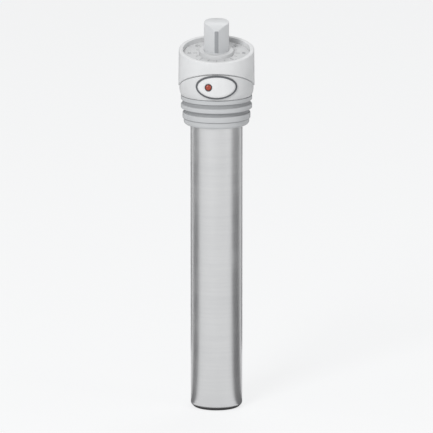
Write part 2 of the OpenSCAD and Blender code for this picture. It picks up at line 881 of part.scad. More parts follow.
module support_rods() {
    color([0.7, 0.71, 0.73]) both_sides()
        translate([rod_x, 0, 0]) rod(rod_r, bottom_z, low_disc_z);
}

// The two leads of the element: one outside the winding, one through the core
module element_pins(z0, z1) {
    translate([0, pin_y, 0]) rod(pin_r, z0, z1);
    translate([-core_hole_x, 0, 0]) rod(pin_r, z0, z1);
}

// Round plate that centres the element in the tube, drilled for the rods and leads
module spacer(z) {
    difference() {
        rod(spacer_r, z, z + spacer_t);
        both_sides() translate([rod_x, 0, 0]) rod(rod_r, z - bite, z + spacer_t + bite);
        element_pins(z - bite, z + spacer_t + bite);
    }
}

module heat_shield() {
    color([0.9, 0.88, 0.8]) spacer(shield_z);
}

module bottom_spacer() {
    color([0.9, 0.88, 0.8]) spacer(bottom_z);
}

module bottom_pad() {
    color([0.85, 0.84, 0.78]) rod(bore_r - foot_round, foot_z + tube_wall, bottom_z);
}

module ceramic_core() {
    color([0.93, 0.91, 0.86]) difference() {
        rod(core_r, core_z, shield_z);
        both_sides() translate([core_hole_x, 0, 0]) rod(core_hole_r, core_z - bite, shield_z + bite);
    }
}

module heating_coil() {
    color([0.5, 0.45, 0.42]) translate([0, 0, coil_z]) rotate([0, 0, 90])
        winding(coil_turns, coil_steps, coil_r, coil_len / coil_turns, wire_r, 6);
}

// One lead to the winding's top end, and one back up the core from its lower end
module element_leads() {
    color([0.75, 0.75, 0.77]) difference() {
        element_pins(bottom_z, low_disc_z);
        translate([0, pin_y, 0]) rod(2 * pin_r, coil_z + bite, coil_z + coil_len - bite);
    }
}

/* Pieces that move */

// Pointer grip on a round stem: two flats run from the sides to a narrow web, under a crowned top
module knob() {
    color([0.83, 0.84, 0.85]) difference() {
        union() {
            intersection() {
                rod(knob_r, lug_z, knob_top_z + bite);
                translate([0, crown_back, knob_top_z - crown_r]) rotate([0, 90, 0])
                    cylinder(r = crown_r, h = knob_d * 2, center = true);
            }
            rod(knob_r, lug_z, grip_z);
            rotate([0, 0, -90 - lug_half]) rotate_extrude(angle = 2 * lug_half)
                translate([knob_r - bite, lug_z]) square([lug_out + bite, lug_h]);
        }
        both_sides() translate([0, 0, grip_z]) linear_extrude(height = grip_h + bite)
            polygon([
                [knob_r + slip, 0], [web_w / 2, fit - knob_r], [web_w / 2, -knob_d],
                [knob_d, -knob_d], [knob_d, 0]
            ]);
        rod(shaft_r, lug_z - bite, pocket_z);
        for (z = [ring_z, ring_z - ring_pitch])
            translate([0, 0, z]) difference() {
                cylinder(r = knob_r + bite, h = ring_t + fit, center = true);
                cylinder(r = knob_r - ring_groove, h = ring_t + bite, center = true);
            }
    }
}

module stem_o_rings() {
    ring_r = ring_t / 2;
    color([0.08, 0.08, 0.09]) for (z = [ring_z, ring_z - ring_pitch])
        translate([0, 0, z]) rotate_extrude()
            translate([knob_r - ring_groove + ring_r, 0]) circle(r = ring_r, $fn = 32);
}

module adjusting_shaft() {
    color([0.85, 0.7, 0.35]) difference() {
        union() {
            rod(shaft_r, top_disc_z - shaft_tail, pocket_z);
            rod(thread_r, thread_end_z, top_disc_z - shaft_tail / 2);
        }
        translate([0, 0, clip_z]) difference() {
            cylinder(r = shaft_r + bite, h = clip_t);
            cylinder(r = shaft_r - clip_bite, h = clip_t);
        }
    }
}

// Spring clip in the shaft's groove, under the carrier's upper disc
module shaft_clip() {
    color([0.6, 0.6, 0.62]) translate([0, 0, clip_z]) difference() {
        cylinder(r = shaft_r + clip_w, h = clip_t);
        translate([0, 0, -bite]) cylinder(r = shaft_r - clip_bite, h = clip_t + 2 * bite);
        block([-clip_slot / 2, 0, -bite], [clip_slot / 2, shaft_d, clip_t + bite]);
    }
}

// Runs down the shaft's thread between the carrier's rails and presses its nose on the lever
module plunger_nut() {
    color([0.75, 0.62, 0.3]) difference() {
        union() {
            block([-nut_w / 2, -nut_deep / 2, nut_z], [nut_w / 2, nut_deep / 2, nut_z + nut_h]);
            block([-nose_w / 2, nose_y - nose_t / 2, nose_z], [nose_w / 2, nose_y + nose_t / 2, nut_z]);
        }
        rod(thread_r + slip, nut_z - bite, nut_z + nut_h + bite);
    }
}

// Bell crank: the short arm lies under the nose, the long one carries the contact
module setting_lever() {
    color([0.68, 0.69, 0.71]) difference() {
        union() {
            pivot() cylinder(r = hub_r, h = hub_w, center = true);
            block([-lever_w / 2, nose_y - arm_over, arm_z - arm_t], [lever_w / 2, pivot_y, arm_z]);
            block([-lever_w / 2, lever_face_y, lever_tip_z],
                  [lever_w / 2, lever_face_y + lever_t, pivot_z]);
        }
        pivot() cylinder(r = pin_d / 2 + slip, h = hub_w + 2 * bite, center = true);
    }
}

module lever_contact() {
    color([0.88, 0.88, 0.9]) translate([0, 0, contact_z]) rod_y(contact_r, set_face_y, lever_face_y);
}

module bimetal_strip() {
    color([0.72, 0.6, 0.48])
        block([-strip_w / 2, strip_y, strip_z], [strip_w / 2, strip_face_y, strip_top_z]);
}

module strip_contact() {
    color([0.88, 0.88, 0.9]) translate([0, 0, contact_z])
        rod_y(contact_r, strip_face_y, strip_face_y + contact_t);
}

module strip_armature() {
    color([0.4, 0.41, 0.43])
        block([-armature_w / 2, strip_y - armature_t, armature_z],
              [armature_w / 2, strip_y, armature_z + armature_h]);
}

sheath_tube();
clamp_collar();
tube_seal();
neck_body();
head_cover();
dial_plate();
knob_bush();
cord_gland();
badge_plate();
badge_bezel();
pilot_lens();
pilot_lamp();
lamp_resistor();
lamp_leads();
cord_splices();
potting();
tube_stopper();
supply_leads();
thermostat_carrier();
terminal_tabs();
terminal_rivets();
lever_pin();
strip_bracket();
snap_magnet();
thermal_fuse();
suppressor_capacitor();
support_rods();
heat_shield();
ceramic_core();
heating_coil();
element_leads();
bottom_spacer();
bottom_pad();
knob();
stem_o_rings();
adjusting_shaft();
shaft_clip();
plunger_nut();
setting_lever();
lever_contact();
bimetal_strip();
strip_contact();
strip_armature();
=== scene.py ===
import math

import bmesh
import bpy
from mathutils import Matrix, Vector


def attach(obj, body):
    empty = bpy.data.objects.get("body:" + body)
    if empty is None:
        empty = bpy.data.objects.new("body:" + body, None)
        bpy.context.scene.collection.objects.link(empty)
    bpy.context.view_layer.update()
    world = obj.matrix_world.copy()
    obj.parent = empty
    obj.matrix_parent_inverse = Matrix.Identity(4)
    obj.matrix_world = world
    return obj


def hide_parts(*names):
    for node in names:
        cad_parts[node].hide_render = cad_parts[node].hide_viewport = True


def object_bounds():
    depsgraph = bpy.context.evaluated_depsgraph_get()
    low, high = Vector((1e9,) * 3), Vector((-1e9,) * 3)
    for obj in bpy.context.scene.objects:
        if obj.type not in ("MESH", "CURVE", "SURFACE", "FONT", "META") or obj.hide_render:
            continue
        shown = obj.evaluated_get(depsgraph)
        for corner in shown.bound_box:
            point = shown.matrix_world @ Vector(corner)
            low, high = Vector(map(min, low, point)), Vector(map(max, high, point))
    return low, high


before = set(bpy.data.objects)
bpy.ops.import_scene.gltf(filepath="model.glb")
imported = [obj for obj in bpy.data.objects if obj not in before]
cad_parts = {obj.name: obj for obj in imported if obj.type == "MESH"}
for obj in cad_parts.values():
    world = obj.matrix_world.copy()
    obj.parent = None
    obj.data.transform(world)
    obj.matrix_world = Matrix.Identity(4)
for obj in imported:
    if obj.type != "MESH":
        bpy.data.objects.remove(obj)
cad_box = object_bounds()
mm = 0.001
quarter_turn = math.radians(90)

# ---------------------------------------------------------------------------
# Camera and studio. A long lens looks at the badge from a little above, as for
# a catalogue. The heater stands on its foot on a plain white floor.
# ---------------------------------------------------------------------------
elevation = math.radians(12)
aim = Vector((0, 0, 20.4 * mm))
stand_off = 3.07
sensor_width, focal_length = 36, 600
view_line = Vector((0, -math.cos(elevation), math.sin(elevation)))
bpy.ops.object.select_all(action="DESELECT")
bpy.ops.object.camera_add(location=aim + stand_off * view_line,
                          rotation=(quarter_turn - elevation, 0, 0))
camera = bpy.context.object
camera.data.sensor_width = sensor_width
camera.data.lens = focal_length
bpy.context.scene.camera = camera
bpy.context.scene.view_settings.view_transform = "Standard"


class Signal:
    """A shader socket. Sums of signals and numbers add Math nodes, and node() adds any other."""

    def __init__(self, tree, socket=None):
        self.tree, self.socket = tree, socket

    def node(self, kind, sockets=(), output=0, stops=None, **settings):
        made = self.tree.nodes.new("ShaderNode" + kind)
        for name, value in settings.items():
            setattr(made, name, value)
        if stops:
            ramp = made.color_ramp
            while len(ramp.elements) < len(stops):
                ramp.elements.new(1)
            for element, (place, shade) in zip(ramp.elements, stops):
                element.position = place
                element.color = (*shade, 1)
        for name, value in dict(sockets).items():
            if isinstance(value, Signal):
                self.tree.links.new(value.socket, made.inputs[name])
            else:
                made.inputs[name].default_value = value
        return Signal(self.tree, made.outputs[output])

    def math(self, operation, a, b=0.0):
        return self.node("Math", {0: a, 1: b}, operation=operation)

    def __add__(self, other):
        return self.math("ADD", self, other)

    def __sub__(self, other):
        return self.math("SUBTRACT", self, other)

    def __rsub__(self, other):
        return self.math("SUBTRACT", other, self)

    def __mul__(self, other):
        return self.math("MULTIPLY", self, other)

    __radd__ = __add__
    __rmul__ = __mul__

    def between(self, low, high):
        """0 below low, 1 above high, and smooth in between."""
        return self.node("MapRange", {"Value": self, "From Min": low, "From Max": high},
                         interpolation_type="SMOOTHSTEP")

    def feed(self, node, name):
        self.tree.links.new(self.socket, node.inputs[name])


def new_finish(name, roughness=0.5, **constants):
    """A new material, its shader and the signal that its nodes start from."""
    material = bpy.data.materials.new(name)
    material.use_nodes = True
    shader = material.node_tree.nodes["Principled BSDF"]
    shader.inputs["Roughness"].default_value = roughness
    for socket, value in constants.items():
        shader.inputs[socket.replace("_", " ")].default_value = value
    return material, shader, Signal(material.node_tree)


daylight = (0.99, 0.995, 1, 1)
sky_on_matt, sky_rise = 0.45, 0.54
world = bpy.data.worlds.new("studio")
world.use_nodes = True
bpy.context.scene.world = world
sky = Signal(world.node_tree)
sky_seen = sky.math("MAXIMUM", sky.node("LightPath", output="Is Camera Ray"),
                    sky.math("MAXIMUM", sky.node("LightPath", output="Is Glossy Ray"),
                             sky.node("LightPath", output="Is Transmission Ray")))
backdrop = world.node_tree.nodes["Background"]
backdrop.inputs["Color"].default_value = daylight
(sky_on_matt + sky_rise * sky_seen).feed(backdrop, "Strength")

floor_z, floor_width = cad_box[0].z, 24
glow_seen, glow_in_gloss = 0.76, 0.62
bpy.ops.mesh.primitive_plane_add(size=floor_width, location=(0, 0, floor_z))
floor = bpy.context.object
floor.name = "floor"
paper, paper_shader, sheet = new_finish("white_paper", 0.9, Base_Color=(0.90, 0.905, 0.91, 1),
                                        Specular_IOR_Level=0.1)
paper_glow = (glow_seen * sheet.node("LightPath", output="Is Camera Ray")
              + glow_in_gloss * sheet.node("LightPath", output="Is Glossy Ray"))
glow = sheet.node("Emission", {"Color": daylight, "Strength": 1.0})
matt = Signal(paper.node_tree, paper_shader.outputs[0])
mixed = sheet.node("MixShader", {0: paper_glow, 1: matt, 2: glow})
mixed.feed(paper.node_tree.nodes["Material Output"], "Surface")
floor.data.materials.append(paper)


def softbox(name, place, size, power):
    """A soft rectangular lamp that faces the middle of the heater."""
    reach = Vector((0, 0, 20 * mm)) - Vector(place)
    bpy.ops.object.light_add(type="AREA", location=place,
                             rotation=reach.to_track_quat("-Z", "Y").to_euler())
    lamp = bpy.context.object
    lamp.name = name
    lamp.data.shape = "RECTANGLE"
    lamp.data.size, lamp.data.size_y = size
    lamp.data.energy = power


softbox("key", (-0.52, -1.08, 0.87), (0.45, 0.6), 9.3)
softbox("fill", (1.05, -0.75, 0.45), (0.4, 0.9), 1.2)
softbox("top", (0.1, 0.45, 1.15), (0.5, 0.4), 2.6)

# Dark cards that only gloss sees. One stands close behind and gives steel and plastic their
# dark edges, two lie on the floor and give the tube its long soft bands, and one lies under
# the foot as a painted contact shadow, which gloss shows as the foot's dark line.


def card(name, shade):
    """Makes the piece just added a card of that grey."""
    piece = bpy.context.object
    piece.name = name
    for ray in ("camera", "diffuse", "shadow", "transmission", "volume_scatter"):
        setattr(piece, "visible_" + ray, False)
    felt = new_finish(name, 1, Base_Color=(shade, shade, 1.03 * shade, 1))[0]
    piece.data.materials.append(felt)


def floor_card(name, start, end, shade):
    """A wedge that runs outwards from the foot, between two bearings from the camera's side."""
    near, far, lift = 0.0115, 0.9, 0.0002
    bpy.ops.mesh.primitive_plane_add(size=1)
    corners = [(reach, math.radians(bearing)) for bearing in (start, end)
               for reach in (near, far)]
    for vertex, (reach, turn) in zip(bpy.context.object.data.vertices, corners):
        vertex.co = (reach * math.sin(turn), -reach * math.cos(turn), floor_z + lift)
    card(name, shade)


floor_card("card_right", 72, 124, 0.16)
floor_card("card_left", -84, -124, 0.20)
bpy.ops.mesh.primitive_plane_add(size=1, location=(0, 0.09, 0.034),
                                 rotation=(quarter_turn, 0, 0))
bpy.context.object.scale = (0.14, 0.19, 1)
card("card_behind", 0.04)
# A dark disc under the foot: a painted contact shadow for glossy rays, in place of the one the
# floor's glow hides.
bpy.ops.mesh.primitive_circle_add(radius=0.0122, fill_type="NGON",
                                  location=(0, 0, floor_z + 0.0001))
card("card_foot", 0.10)

# ---------------------------------------------------------------------------
# Sheath tube. Stainless steel, deep drawn with a flat, rounded foot, then
# ground and brushed round its axis. Its mouth is sized down inside the collar.
# ---------------------------------------------------------------------------


def pick(edges=None, faces=None):
    """In edit mode, selects edges by a test on their ends, or faces by one on middle and normal.

    Places are in mm. The answer says whether anything was found.
    """
    mesh = bmesh.from_edit_mesh(bpy.context.object.data)
    bpy.ops.mesh.select_mode(type="EDGE" if edges else "FACE")
    bpy.ops.mesh.select_all(action="DESELECT")
    if edges:
        chosen = [edge for edge in mesh.edges if edges(*(end.co / mm for end in edge.verts))]
    else:
        chosen = [face for face in mesh.faces
                  if faces(face.calc_center_median() / mm, face.normal)]
    for element in chosen:
        element.select = True
    mesh.select_flush_mode()
    bmesh.update_edit_mesh(bpy.context.object.data)
    return bool(chosen)


def start_editing():
    bpy.ops.object.mode_set(mode="EDIT")
    bpy.ops.mesh.select_mode(type="VERT")
    bpy.ops.mesh.select_all(action="SELECT")


def turned(name, outline, steps=144):
    """Spins a closed outline of (radius, height) points round the axis, as a lathe does."""
    merge_distance, sliver = 0.001 * mm, 0.0005 * mm
    bpy.ops.object.select_all(action="DESELECT")
    bpy.ops.mesh.primitive_plane_add(size=mm)
    piece = bpy.context.object
    piece.name = name
    start_editing()
    bpy.ops.mesh.merge(type="CENTER")
    bpy.ops.transform.translate(value=(outline[0][0] * mm, 0, outline[0][1] * mm))
    for (r0, z0), (r1, z1) in zip(outline, outline[1:] + outline[:1]):
        bpy.ops.mesh.extrude_region_move(
            TRANSFORM_OT_translate={"value": ((r1 - r0) * mm, 0, (z1 - z0) * mm)})
    bpy.ops.mesh.select_all(action="SELECT")
    bpy.ops.mesh.remove_doubles(threshold=merge_distance)
    bpy.ops.mesh.spin(steps=steps, angle=2 * math.pi, center=(0, 0, 0), axis=(0, 0, 1))
    bpy.ops.mesh.select_all(action="SELECT")
    bpy.ops.mesh.remove_doubles(threshold=merge_distance)
    bpy.ops.mesh.dissolve_degenerate(threshold=sliver)
    bpy.ops.mesh.select_all(action="SELECT")
    bpy.ops.mesh.delete_loose(use_verts=True, use_edges=True, use_faces=False)
    bpy.ops.mesh.select_all(action="SELECT")
    bpy.ops.mesh.normals_make_consistent(inside=False)
    return piece


def near_to(value, wanted):
    """Whether two lengths in mm are the same but for rounding."""
    return abs(value - wanted) < 0.02


def round_ring(radius, height, size, segments=4):
    """Rounds the ring of edges at a radius and a height."""
    def on_ring(*ends):
        return all(near_to(math.hypot(p.x, p.y), radius) and near_to(p.z, height) for p in ends)
    if pick(edges=on_ring):
        bpy.ops.mesh.bevel(offset=size * mm, segments=segments, profile=0.5, affect="EDGES")


def finished(piece, body, material, replaces=(), smooth=32):
    """Ends editing, shades the piece and hands it to the body that it rides on."""
    if bpy.context.object.mode == "EDIT":
        bpy.ops.mesh.select_all(action="SELECT")
        bpy.ops.object.mode_set(mode="OBJECT")
    bpy.ops.object.shade_smooth_by_angle(angle=math.radians(smooth))
    piece.data.materials.clear()
    piece.data.materials.append(material)
    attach(piece, body)
    if replaces:
        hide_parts(*replaces)


def grain(signal, size, stretch=(1, 1, 1), detail=3, roughness=0.55):
    """Noise whose spots are size mm across, longer along an axis where stretch is over 1."""
    place = signal.node("TexCoord", output="Object")
    scale = tuple(1 / (size * mm * s) for s in stretch)
    moved = signal.node("Mapping", {"Vector": place, "Scale": scale})
    return signal.node("TexNoise", {"Vector": moved, "Scale": 1.0, "Detail": detail,
                                    "Roughness": roughness})


def blend_colours(signal, amount, low, high):
    """A mix of two colours. Either can be a signal."""
    low, high = (c if isinstance(c, Signal) else (*c, 1) for c in (low, high))
    return signal.node("Mix", {0: amount, 6: low, 7: high}, output=2, data_type="RGBA")


def emboss(signal, shader, height, depth):
    """Gives the shader a relief of that depth in mm."""
    bump = signal.node("Bump", {"Height": height, "Distance": depth * mm, "Strength": 1.0})
    bump.feed(shader, "Normal")


sheath_steel, shader, signal = new_finish("sheath_steel", Metallic=1.0)
rings = grain(signal, 0.07, (70, 70, 1), detail=4)
bands = grain(signal, 1.3, (30, 30, 1), detail=3)
cloud = grain(signal, 16, detail=2)
scratch = grain(signal, 0.35, (1, 1, 60), detail=4).between(0.66, 0.73)
blend_colours(signal, 0.45 * rings + 0.35 * bands + 0.2 * cloud,
              (0.56, 0.565, 0.575), (0.78, 0.78, 0.775)).feed(shader, "Base Color")
(0.25 + 0.10 * rings + 0.05 * bands + 0.06 * cloud.between(0.4, 0.7)
 + 0.06 * scratch).feed(shader, "Roughness")
emboss(signal, shader, rings + 0.5 * bands - 0.2 * scratch, 0.004)

tube_r, tube_bore_r = 11, 10.4
mouth_r, mouth_bore_r, mouth_z = 10.7, 10.1, 73.75
foot_z, foot_inside_z, foot_r, foot_corner_z = -62.25, -61.65, 9.5, -60.75
dish_z, dish_r, dish_edge_r = -62.0, 6.0, 7.4
collar_foot_z = 60.75
sheath_tube = turned("sheath", [
    (0, dish_z), (dish_r, dish_z), (dish_edge_r, foot_z), (foot_r, foot_z),
    (tube_r, foot_corner_z), (tube_r, collar_foot_z), (mouth_r, 60.85), (mouth_r, mouth_z),
    (mouth_bore_r, mouth_z), (mouth_bore_r, 60.6), (tube_bore_r, 60.5),
    (tube_bore_r, foot_corner_z), (foot_r, foot_inside_z), (0, foot_inside_z)], 160)
round_ring(tube_r, foot_corner_z, 0.62, 6)
round_ring(foot_r, foot_z, 0.62, 6)
round_ring(dish_edge_r, foot_z, 0.5, 3)
round_ring(dish_r, dish_z, 0.5, 3)
finished(sheath_tube, "housing", sheath_steel, ["sheath_tube"], smooth=40)

# ---------------------------------------------------------------------------
# Heating element. A fired ceramic core, wound with nickel-chrome wire, stands
# between mica discs on two steel rods; a mica pad keeps it off the tube's foot.
# ---------------------------------------------------------------------------


def dress(material, *nodes):
    """Gives their finish to solids that keep their shape."""
    for node in nodes:
        bpy.data.objects[node].material_slots[0].material = material


def moulded(name, dark, light, gloss=0.36, texture=0.016, **constants):
    """A moulded or fired body: a fine skin, faint clouds of colour and a few rub marks."""
    material, shader, signal = new_finish(name, **{"Specular_IOR_Level": 0.42, **constants})
    fine = grain(signal, 0.16, detail=3, roughness=0.6)
    cloud = grain(signal, 9, detail=3).between(0.3, 0.7)
    rub = grain(signal, 1.4, (1, 1, 0.25), detail=4).between(0.62, 0.74)
    blend_colours(signal, 0.35 * fine + 0.65 * cloud, dark, light).feed(shader, "Base Color")
    (gloss - 0.05 + 0.12 * fine + 0.06 * cloud - 0.06 * rub).feed(shader, "Roughness")
    emboss(signal, shader, fine, texture)
    return material


def drawn_metal(name, dark, light, gloss, stretch=(1, 1, 25)):
    """Bare metal: fine lines along the way it was drawn or rolled, and a thin cloudy tarnish."""
    material, shader, signal = new_finish(name, Metallic=1.0)
    lines = grain(signal, 0.06, stretch)
    tarnish = grain(signal, 1.6).between(0.42, 0.72)
    blend_colours(signal, 0.5 * lines + 0.5 * tarnish, light, dark).feed(shader, "Base Color")
    (gloss + 0.1 * lines + 0.14 * tarnish).feed(shader, "Roughness")
    emboss(signal, shader, lines, 0.003)
    return material


dress(moulded("core_ceramic", (0.72, 0.69, 0.62), (0.86, 0.84, 0.78), 0.66, 0.03),
      "ceramic_core")
dress(drawn_metal("resistance_wire", (0.12, 0.095, 0.085), (0.34, 0.29, 0.26), 0.40),
      "heating_coil")
dress(drawn_metal("pin_steel", (0.42, 0.42, 0.43), (0.58, 0.58, 0.59), 0.24),
      "support_rods", "lever_pin")
dress(drawn_metal("tinned_wire", (0.55, 0.55, 0.57), (0.78, 0.78, 0.79), 0.26),
      "element_leads", "lamp_leads")

spacer_mica, shader, signal = new_finish("spacer_mica", Specular_IOR_Level=0.6)
flat = signal.node("Mapping", {"Vector": signal.node("TexCoord", output="Object"),
                               "Scale": (900, 900, 5000)})
flakes = signal.node("TexVoronoi", {"Vector": flat, "Scale": 1.0}, output="Color")
stain = grain(signal, 3.5).between(0.45, 0.7)
blend_colours(signal, 0.6 * flakes + 0.4 * stain,
              (0.68, 0.62, 0.48), (0.50, 0.42, 0.29)).feed(shader, "Base Color")
(0.24 + 0.22 * flakes).feed(shader, "Roughness")
emboss(signal, shader, flakes, 0.02)
dress(spacer_mica, "heat_shield", "bottom_spacer", "bottom_pad")

# ---------------------------------------------------------------------------
# Thermostat. Two discs of phenolic cloth laminate carry a bimetal strip in a
# brass bracket, a rocking lever, a snap magnet, a fuse and a capacitor.
# ---------------------------------------------------------------------------


def along(signal, axis):
    """The place on a piece along one axis, in mm."""
    place = signal.node("TexCoord", output="Object")
    return 1000 * signal.node("SeparateXYZ", {"Vector": place}, output=axis)


carrier_phenolic, shader, signal = new_finish("carrier_phenolic", Specular_IOR_Level=0.5)
weave = 0.5 * grain(signal, 0.22, (9, 9, 1)) + 0.5 * grain(signal, 0.22, (1, 1, 9))
resin = grain(signal, 5)
blend_colours(signal, 0.7 * weave + 0.3 * resin,
              (0.075, 0.028, 0.012), (0.21, 0.085, 0.035)).feed(shader, "Base Color")
(0.30 + 0.25 * weave).feed(shader, "Roughness")
emboss(signal, shader, weave, 0.02)
dress(carrier_phenolic, "thermostat_carrier")

dress(drawn_metal("brass", (0.46, 0.30, 0.10), (0.72, 0.53, 0.22), 0.22),
      "terminal_tabs", "terminal_rivets", "strip_bracket", "plunger_nut")
dress(drawn_metal("lever_steel", (0.40, 0.41, 0.43), (0.56, 0.57, 0.59), 0.28, (25, 1, 1)),
      "setting_lever")
dress(drawn_metal("contact_silver", (0.60, 0.59, 0.57), (0.86, 0.86, 0.85), 0.18),
      "lever_contact", "strip_contact")
dress(moulded("magnet_ferrite", (0.030, 0.030, 0.033), (0.055, 0.055, 0.060), 0.55, 0.03),
      "snap_magnet", "strip_armature")
dress(moulded("fuse_ceramic", (0.66, 0.63, 0.52), (0.76, 0.73, 0.63), 0.5, 0.02),
      "thermal_fuse")
dress(moulded("capacitor_film", (0.52, 0.26, 0.025), (0.66, 0.38, 0.05), 0.2, 0.02,
              Coat_Weight=0.5), "suppressor_capacitor")

layers_meet_y = -2.6
bimetal, shader, signal = new_finish("bimetal", Metallic=1.0)
copper_side = along(signal, "Y").between(layers_meet_y - 0.02, layers_meet_y + 0.02)
layers = blend_colours(signal, copper_side, (0.48, 0.47, 0.46), (0.62, 0.36, 0.24))
heat_tint = grain(signal, 3).between(0.45, 0.7)
blend_colours(signal, 0.5 * heat_tint, layers, (0.34, 0.27, 0.25)).feed(shader, "Base Color")
rolling = grain(signal, 0.05, (1, 1, 30))
(0.24 + 0.14 * rolling).feed(shader, "Roughness")
emboss(signal, shader, rolling, 0.003)
dress(bimetal, "bimetal_strip")

# ---------------------------------------------------------------------------
# Stopper and seal. A silicone stopper closes the tube's mouth round the two
# insulated leads, and a nitrile ring seals the tube inside the collar.
# ---------------------------------------------------------------------------

dress(moulded("stopper_rubber", (0.30, 0.055, 0.035), (0.38, 0.085, 0.055), 0.5, 0.02),
      "tube_stopper")
dress(moulded("wire_insulation", (0.66, 0.63, 0.55), (0.76, 0.74, 0.67), 0.45, 0.02),
      "supply_leads")
dress(moulded("seal_rubber", (0.014, 0.014, 0.015), (0.036, 0.036, 0.038), 0.52, 0.02),
      "tube_seal", "stem_o_rings")

# ---------------------------------------------------------------------------
# Ribbed collar. Satin grey ABS, moulded in one piece and pressed over the
# tube's mouth; its ribs give the hand a grip and its floor sits on the sheath.
# ---------------------------------------------------------------------------

collar_plastic, shader, signal = new_finish("collar_plastic", Specular_IOR_Level=0.42)
# The step and the grooves get painted shade, a darker colour, and are also more matt than the
# ribs. Their heights are parts of ramp_length, from ramp_foot_z up.
ramp_foot_z, ramp_length = 60, 14
crest, groove = (0, 0, 0), (1, 1, 1)
stops = [(0, crest)]
for fade_in, start, end, fade_out in ((0.230, 0.242, 0.262, 0.274), (0.425, 0.440, 0.545, 0.556),
                                      (0.690, 0.702, 0.804, 0.816)):
    stops += [(fade_in, crest), (start, groove), (end, groove), (fade_out, crest)]
stops += [(0.930, crest), (0.944, groove)]
up_collar = (along(signal, "Z") - ramp_foot_z) * (1 / ramp_length)
groove_shade_and_matt = signal.node("ValToRGB", {"Fac": up_collar}, stops=stops)
fine = grain(signal, 0.16, detail=3, roughness=0.6)
cloud = grain(signal, 9, detail=3)
tone = blend_colours(signal, 0.35 * fine + 0.65 * cloud, (0.54, 0.55, 0.56), (0.62, 0.63, 0.64))
# Painted shade: the grooves and the step are blended towards dark grey.
blend_colours(signal, 0.75 * groove_shade_and_matt, tone, (0.27, 0.275, 0.285)).feed(shader, "Base Color")
(0.30 + 0.12 * fine + 0.05 * cloud + 0.22 * groove_shade_and_matt).feed(shader, "Roughness")
emboss(signal, shader, fine, 0.012)

lip_r, collar_top_z = 13.9, 73.35
floor_bore_r, collar_bore_r, collar_floor_z = 10.75, 12.85, 63.5
ribs = ((14.4, 63.45, 66.05), (15.1, 67.75, 69.70), (15.1, 71.40, collar_top_z))
outline = [(floor_bore_r, collar_foot_z)]
root_corners = []
below = collar_foot_z
for root_r, (rib_r, rib_foot, rib_top) in zip((lip_r, 13.65, 14.35), ribs):
    outline += [(root_r, below), (root_r, rib_foot), (rib_r, rib_foot), (rib_r, rib_top)]
    root_corners += [(root_r, below), (root_r, rib_foot)]
    below = rib_top
outline += [(collar_bore_r, collar_top_z), (collar_bore_r, collar_floor_z),
            (floor_bore_r, collar_floor_z)]
clamp_collar = turned("collar", outline, 160)
round_ring(*root_corners[0], 1.5, 8)
for rib_r, rib_foot, rib_top in ribs:
    round_ring(rib_r, rib_foot, 0.42, 5)
    round_ring(rib_r, rib_top, 0.42, 5)
for radius, height in root_corners[1:]:
    round_ring(radius, height, 0.12, 2)
finished(clamp_collar, "housing", collar_plastic, ["clamp_collar"])

# ---------------------------------------------------------------------------
# Neck. White satin ABS: a belly that shows under the cover as an arch, and
# inside it the cup that carries the bush, the lamp and the cord's splices.
# ---------------------------------------------------------------------------
seam_z, seam_slope = 77.0, 7.75 / 16
plate_under_z = 89.5
dial_slope = math.tan(math.radians(11.5))
badge_z, lens_x, lens_hole_r = 79.35, -3.4, 1.32
lens_drill = (lens_x, -18, badge_z)


def seam_height(y):
    """The seam's height: level behind the axis, rising to the front."""
    return seam_z + max(0, -y * seam_slope)


def dial_level(on_axis):
    """The heights of a level that is parallel to the dial, from its height on the axis."""
    return lambda y: on_axis + y * dial_slope


def incline(level, height_at):
    """Moves the rings of points at a level up or down to a sloped height."""
    mesh = bmesh.from_edit_mesh(bpy.context.object.data)
    for vertex in mesh.verts:
        if abs(vertex.co.z / mm - level) < 0.001:
            vertex.co.z = height_at(vertex.co.y / mm) * mm
    bmesh.update_edit_mesh(bpy.context.object.data)


def round_slope(radius, height_at, size, segments=3):
    """Rounds a sloped ring of edges at a radius."""
    def on_slope(*ends):
        return all(near_to(p.z, height_at(p.y)) and near_to(math.hypot(p.x, p.y), radius)
                   for p in ends)
    if pick(edges=on_slope):
        bpy.ops.mesh.bevel(offset=size * mm, segments=segments, profile=0.5, affect="EDGES")


def bored(piece, radius, place, turn=0):
    """Bores a round hole through a piece, upright or turned towards the front."""
    bpy.ops.mesh.primitive_cylinder_add(
        vertices=64, radius=radius * mm, depth=20 * mm, location=[v * mm for v in place],
        rotation=(math.radians(turn), 0, 0))
    drill = bpy.context.object
    cut = piece.modifiers.new("bore", "BOOLEAN")
    cut.operation, cut.object = "DIFFERENCE", drill
    bpy.context.view_layer.objects.active = piece
    bpy.ops.object.modifier_apply(modifier="bore")
    bpy.data.objects.remove(drill)
    bpy.ops.object.select_all(action="DESELECT")
    piece.select_set(True)


neck_plastic = moulded("neck_plastic", (0.70, 0.705, 0.71), (0.78, 0.785, 0.79))
shaft_hole_r, socket_r, skirt_r, cup_inside_r, cup_r = 2.05, 10.8, 12.75, 12.5, 14.1
cup_floor_z, cup_floor_under_z = 76.5, 75.0
neck_cup = turned("neck_cup", [
    (shaft_hole_r, cup_floor_z), (cup_inside_r, cup_floor_z), (cup_inside_r, plate_under_z),
    (cup_r, plate_under_z), (cup_r, 75.4), (skirt_r, 75.4), (skirt_r, 67.0), (socket_r, 67.0),
    (socket_r, mouth_z), (12.15, mouth_z), (12.15, cup_floor_under_z),
    (shaft_hole_r, cup_floor_under_z)])
incline(plate_under_z, dial_level(plate_under_z))
bpy.ops.object.mode_set(mode="OBJECT")
belly_foot_r, belly_r, belly_z = 14.95, 15.7, 75.35
neck = turned("neck", [
    (skirt_r, collar_top_z), (belly_foot_r, collar_top_z), (belly_r, belly_z), (belly_r, seam_z),
    (skirt_r, seam_z)], 160)
round_ring(belly_foot_r, collar_top_z, 0.38, 3)
round_ring(belly_r, belly_z, 0.9, 5)
